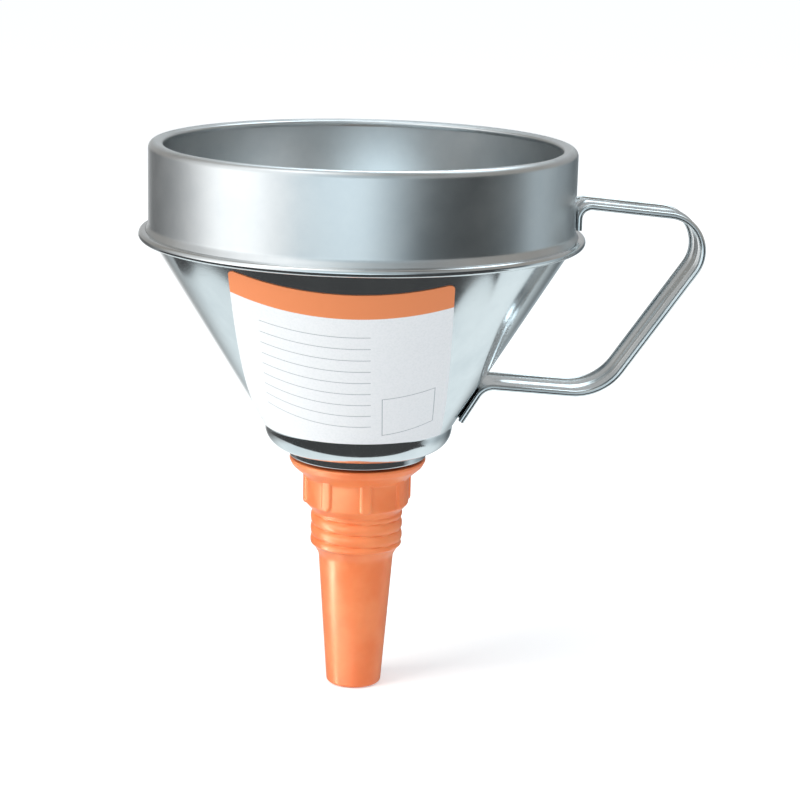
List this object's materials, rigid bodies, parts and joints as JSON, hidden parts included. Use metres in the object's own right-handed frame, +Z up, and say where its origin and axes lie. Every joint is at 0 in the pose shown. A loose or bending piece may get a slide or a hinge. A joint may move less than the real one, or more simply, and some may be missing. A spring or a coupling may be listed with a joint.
{
  "type": "funnel",
  "caption": "Sheet-metal filling funnel with a tall splash collar, a strip handle, a lift-out strainer and a ribbed plastic spout.",
  "frame": {"origin": "on the funnel's axis, where the taper under the spout's ridges bears on the edge of a filler neck", "axes": "+Z up along the funnel's axis towards the rim, +X towards the handle"},
  "size_m": [0.2131, 0.1678, 0.2122],
  "materials": {
    "bright_tinplate": "bright rolled tinplate",
    "satin_tinplate": "satin tinplate",
    "brass_gauze": "woven brass wire",
    "orange_plastic": "semi-gloss moulded polyethylene",
    "label_paper": "coated white paper with a plain orange band"
  },
  "bodies": {
    "spout": {"spout": "orange_plastic"},
    "funnel": {"funnel_bowl": "bright_tinplate", "splash_collar": "satin_tinplate", "handle": "bright_tinplate", "label": "label_paper"},
    "strainer": {"strainer_frame": "satin_tinplate", "strainer_gauze": "brass_gauze", "strainer_clamp_ring": "satin_tinplate", "strainer_lift_loop": "brass_gauze"}
  },
  "joints": [
    {"name": "spout_pull_off", "type": "slide", "parent": "spout", "child": "funnel", "axis": [0, 0, 1], "range_m": [0, 0.04]},
    {"name": "strainer_lift", "type": "slide", "parent": "funnel", "child": "strainer", "axis": [0, 0, 1], "range_m": [0, 0.13]}
  ]
}
